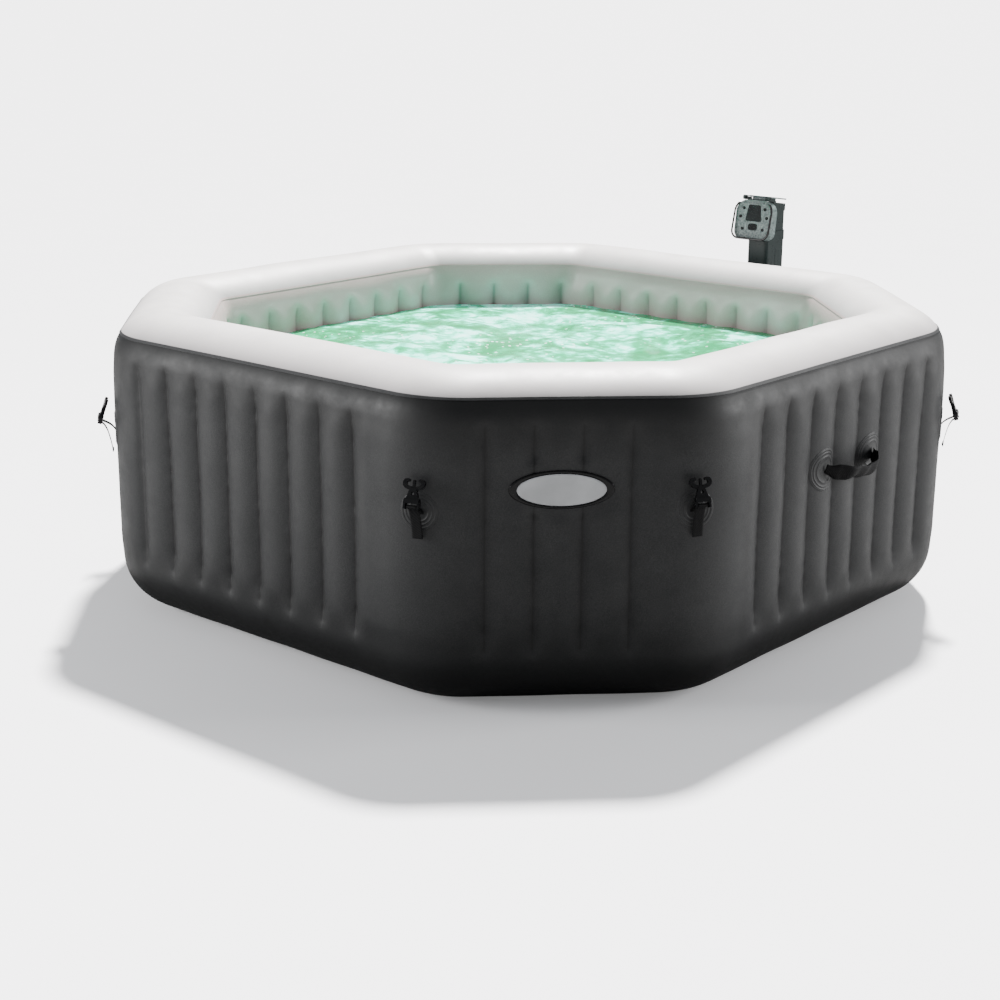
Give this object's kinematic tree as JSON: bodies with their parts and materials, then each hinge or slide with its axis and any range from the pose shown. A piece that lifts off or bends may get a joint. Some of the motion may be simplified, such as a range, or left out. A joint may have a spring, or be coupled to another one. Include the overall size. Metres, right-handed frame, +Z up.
{
  "type": "inflatable hot tub",
  "caption": "Octagonal inflatable hot tub with ribbed dark walls, a pale top ring, carry handles, cover buckles and a free-standing pump and heater unit with a swivelling control head.",
  "frame": {"origin": "centre of the tub's underside, on the floor", "axes": "+Z up; -Y through the middle of the front short side; the control unit stands at +X +Y"},
  "size_m": [2.0638, 2.0605, 0.8646],
  "materials": {
    "dark_pvc": "fine-grained matt laminated sheet",
    "cream_pvc": "satin laminated sheet",
    "cream_plastic": "satin",
    "black_pvc": "satin",
    "webbing": "woven webbing",
    "black_plastic": "moulded, satin",
    "charcoal_plastic": "satin",
    "steel": "brushed",
    "grey_plastic": "satin",
    "silver_plastic": "silver-grey, slight gloss",
    "display": "gloss",
    "clear_plastic": "clear moulded plastic",
    "circuit": "matt",
    "filter_paper": "pleated",
    "unit_plastic": "fine texture"
  },
  "bodies": {
    "tub_and_unit": {"base_sheet": "dark_pvc", "outer_wall": "dark_pvc", "top_ring": "cream_pvc", "inner_wall": "cream_pvc", "tub_floor": "cream_pvc", "wall_webs": "cream_pvc", "bubble_channel": "cream_pvc", "jet_nozzles": "cream_plastic", "jet_manifold": "unit_plastic", "weld_patches": "black_pvc", "strap_1": "webbing", "strap_2": "webbing", "strap_3": "webbing", "strap_4": "webbing", "strap_5": "webbing", "strap_6": "webbing", "strap_7": "webbing", "strap_8": "webbing", "inflation_valve": "charcoal_plastic", "drain_valve": "charcoal_plastic", "wall_unions": "charcoal_plastic", "union_nuts": "unit_plastic", "suction_grids": "cream_plastic", "unit_housing": "unit_plastic", "unit_cover": "unit_plastic", "unit_feet": "black_plastic", "unit_screws": "steel", "pump_body": "black_plastic", "heater_tube": "steel", "air_blower": "black_plastic", "water_pipes": "unit_plastic", "control_board": "circuit", "control_post": "unit_plastic"},
    "buckle_1": {"buckle_1": "black_plastic"},
    "buckle_2": {"buckle_2": "black_plastic"},
    "buckle_3": {"buckle_3": "black_plastic"},
    "buckle_4": {"buckle_4": "black_plastic"},
    "buckle_5": {"buckle_5": "black_plastic"},
    "buckle_6": {"buckle_6": "black_plastic"},
    "buckle_7": {"buckle_7": "black_plastic"},
    "buckle_8": {"buckle_8": "black_plastic"},
    "carry_handle_1": {"carry_handle_1": "webbing"},
    "carry_handle_2": {"carry_handle_2": "webbing"},
    "inflation_cap": {"inflation_cap": "charcoal_plastic"},
    "drain_cap": {"drain_cap": "black_plastic"},
    "filter": {"filter_cap": "black_plastic", "filter_cartridge": "filter_paper"},
    "pump_impeller": {"pump_impeller": "grey_plastic"},
    "blower_wheel": {"blower_wheel": "grey_plastic"},
    "head": {"head_shell": "unit_plastic", "head_bezel": "silver_plastic", "display_lens": "display"},
    "power_button": {"power_button": "black_plastic"},
    "button_1": {"button_1": "black_plastic"},
    "button_2": {"button_2": "black_plastic"},
    "button_3": {"button_3": "black_plastic"},
    "button_4": {"button_4": "black_plastic"},
    "button_5": {"button_5": "black_plastic"},
    "button_6": {"button_6": "black_plastic"},
    "splash_lid": {"splash_lid": "clear_plastic"}
  },
  "joints": [
    {"name": "buckle_1_swing", "type": "hinge", "parent": "tub_and_unit", "child": "buckle_1", "pos_m": [1.00742, -0.29574, 0.454], "axis": [0.3551, 0.9348, 0], "range_deg": [0, 150]},
    {"name": "buckle_2_swing", "type": "hinge", "parent": "tub_and_unit", "child": "buckle_2", "pos_m": [1.02201, 0.23871, 0.454], "axis": [-0.1374, 0.9905, 0], "range_deg": [0, 150]},
    {"name": "buckle_3_swing", "type": "hinge", "parent": "tub_and_unit", "child": "buckle_3", "pos_m": [0.29574, 1.00742, 0.454], "axis": [-0.9348, 0.3551, 0], "range_deg": [0, 150]},
    {"name": "buckle_4_swing", "type": "hinge", "parent": "tub_and_unit", "child": "buckle_4", "pos_m": [-0.23871, 1.02201, 0.454], "axis": [-0.9905, -0.1374, 0], "range_deg": [0, 150]},
    {"name": "buckle_5_swing", "type": "hinge", "parent": "tub_and_unit", "child": "buckle_5", "pos_m": [-1.00742, 0.29574, 0.454], "axis": [-0.3551, -0.9348, 0], "range_deg": [0, 150]},
    {"name": "buckle_6_swing", "type": "hinge", "parent": "tub_and_unit", "child": "buckle_6", "pos_m": [-1.02201, -0.23871, 0.454], "axis": [0.1374, -0.9905, 0], "range_deg": [0, 150]},
    {"name": "buckle_7_swing", "type": "hinge", "parent": "tub_and_unit", "child": "buckle_7", "pos_m": [-0.3126, -1.00034, 0.454], "axis": [0.9078, -0.4195, 0], "range_deg": [0, 150]},
    {"name": "buckle_8_swing", "type": "hinge", "parent": "tub_and_unit", "child": "buckle_8", "pos_m": [0.26386, -1.01726, 0.454], "axis": [0.9724, 0.2334, 0], "range_deg": [0, 150]},
    {"name": "carry_handle_1_swing", "type": "hinge", "parent": "tub_and_unit", "child": "carry_handle_1", "pos_m": [0.66525, -0.62706, 0.436], "axis": [-0.7071, -0.7071, 0], "range_deg": [0, 55]},
    {"name": "carry_handle_2_swing", "type": "hinge", "parent": "tub_and_unit", "child": "carry_handle_2", "pos_m": [-0.64686, 0.64545, 0.436], "axis": [0.7071, 0.7071, 0], "range_deg": [0, 55]},
    {"name": "inflation_cap_hinge", "type": "hinge", "parent": "tub_and_unit", "child": "inflation_cap", "pos_m": [-0.078, 0.9915, 0.327], "axis": [1, 0, 0], "range_deg": [0, 150]},
    {"name": "drain_cap_pull", "type": "slide", "parent": "tub_and_unit", "child": "drain_cap", "axis": [0, 1, 0], "range_m": [0, 0.03]},
    {"name": "filter_lift", "type": "slide", "parent": "tub_and_unit", "child": "filter", "axis": [0, 0, 1], "range_m": [0, 0.3]},
    {"name": "pump_impeller_spin", "type": "hinge", "parent": "tub_and_unit", "child": "pump_impeller", "pos_m": [0.86974, 0.81317, 0.085], "axis": [-0.7071, 0.7071, 0], "continuous": true},
    {"name": "blower_wheel_spin", "type": "hinge", "parent": "tub_and_unit", "child": "blower_wheel", "pos_m": [0.75095, 0.73681, 0.39], "axis": [0, 0, 1], "continuous": true},
    {"name": "head_swivel", "type": "hinge", "parent": "tub_and_unit", "child": "head", "pos_m": [0.76014, 0.76014, 0.7356], "axis": [0, 0, 1], "range_deg": [-90, 90]},
    {"name": "power_button_press", "type": "slide", "parent": "head", "child": "power_button", "axis": [0.7002, 0.7002, -0.1392], "range_m": [0, 0.0012], "stiffness_N_per_m": 500},
    {"name": "button_1_press", "type": "slide", "parent": "head", "child": "button_1", "axis": [0.7002, 0.7002, -0.1392], "range_m": [0, 0.001], "stiffness_N_per_m": 500},
    {"name": "button_2_press", "type": "slide", "parent": "head", "child": "button_2", "axis": [0.7002, 0.7002, -0.1392], "range_m": [0, 0.001], "stiffness_N_per_m": 500},
    {"name": "button_3_press", "type": "slide", "parent": "head", "child": "button_3", "axis": [0.7002, 0.7002, -0.1392], "range_m": [0, 0.001], "stiffness_N_per_m": 500},
    {"name": "button_4_press", "type": "slide", "parent": "head", "child": "button_4", "axis": [0.7002, 0.7002, -0.1392], "range_m": [0, 0.001], "stiffness_N_per_m": 500},
    {"name": "button_5_press", "type": "slide", "parent": "head", "child": "button_5", "axis": [0.7002, 0.7002, -0.1392], "range_m": [0, 0.001], "stiffness_N_per_m": 500},
    {"name": "button_6_press", "type": "slide", "parent": "head", "child": "button_6", "axis": [0.7002, 0.7002, -0.1392], "range_m": [0, 0.001], "stiffness_N_per_m": 500},
    {"name": "splash_lid_hinge", "type": "hinge", "parent": "head", "child": "splash_lid", "pos_m": [0.72019, 0.72019, 0.85811], "axis": [-0.7071, 0.7071, 0], "range_deg": [0, 165]}
  ]
}
